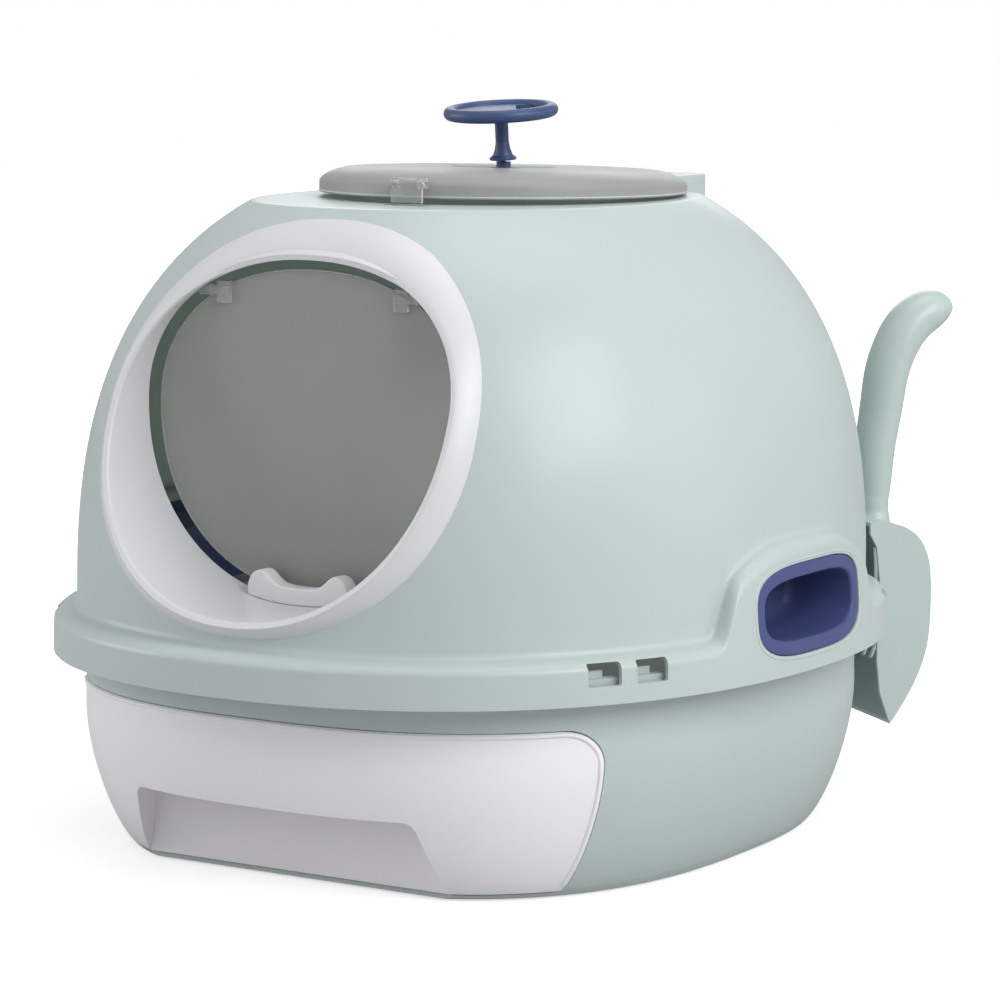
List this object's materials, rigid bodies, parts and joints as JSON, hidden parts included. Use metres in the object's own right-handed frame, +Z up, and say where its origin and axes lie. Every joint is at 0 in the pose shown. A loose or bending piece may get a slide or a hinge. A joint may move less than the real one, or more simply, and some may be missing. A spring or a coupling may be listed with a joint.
{
  "type": "covered litter box",
  "caption": "Domed covered cat litter box with a pull-out pan drawer, a smoked swing door in a round collar, a hinged skylight lid with ring knob, side grips and a hung scoop.",
  "frame": {"origin": "on the floor under the middle of the base shell", "axes": "+Z up, -Y out of the cat entrance and along the drawer's way out, +X to the right side grip"},
  "size_m": [0.4554, 0.5228, 0.4218],
  "materials": {
    "dome_shell": "satin",
    "base_shell": "satin",
    "drawer_face": "satin",
    "tray": "matte",
    "ring": "glossy",
    "stop": "glossy",
    "handles": "satin",
    "knob": "satin",
    "smoked_door": "translucent",
    "smoked_lid": "translucent",
    "clear_plastic": "translucent",
    "scoop_mint": "satin",
    "feet": "matte"
  },
  "bodies": {
    "base": {"base_tub": "base_shell", "base_feet": "feet"},
    "dome": {"dome_cover": "dome_shell", "entrance_ring": "ring", "door_stop": "stop", "handle_insert_left": "handles", "handle_insert_right": "handles", "lid_hinge_pin_left": "clear_plastic", "lid_hinge_pin_right": "clear_plastic"},
    "drawer": {"drawer_front": "drawer_face", "drawer_tray": "tray"},
    "door": {"door_flap": "smoked_door", "door_pivot_left": "clear_plastic", "door_pivot_right": "clear_plastic"},
    "lid": {"skylight_lid": "smoked_lid", "ring_knob": "knob", "knob_disc": "knob", "knob_nut": "knob", "clip_pin": "clear_plastic"},
    "clip": {"lid_clip": "clear_plastic"},
    "scoop": {"scoop": "scoop_mint"}
  },
  "joints": [
    {"name": "drawer_slide", "type": "slide", "parent": "base", "child": "drawer", "axis": [0, -1, 0], "range_m": [0, 0.3]},
    {"name": "dome_lift", "type": "slide", "parent": "base", "child": "dome", "axis": [0, 0, 1], "range_m": [0, 0.15]},
    {"name": "door_hinge", "type": "hinge", "parent": "dome", "child": "door", "pos_m": [0, -0.166, 0.3215], "axis": [1, 0, 0], "range_deg": [0, 80]},
    {"name": "lid_hinge", "type": "hinge", "parent": "dome", "child": "lid", "pos_m": [0, 0.1475, 0.371], "axis": [-1, 0, 0], "range_deg": [0, 100]},
    {"name": "clip_hinge", "type": "hinge", "parent": "lid", "child": "clip", "pos_m": [0.0083, -0.0814, 0.3786], "axis": [-1, 0, 0], "range_deg": [0, 50]},
    {"name": "scoop_lift", "type": "slide", "parent": "dome", "child": "scoop", "axis": [0, 0, 1], "range_m": [0, 0.06]}
  ]
}
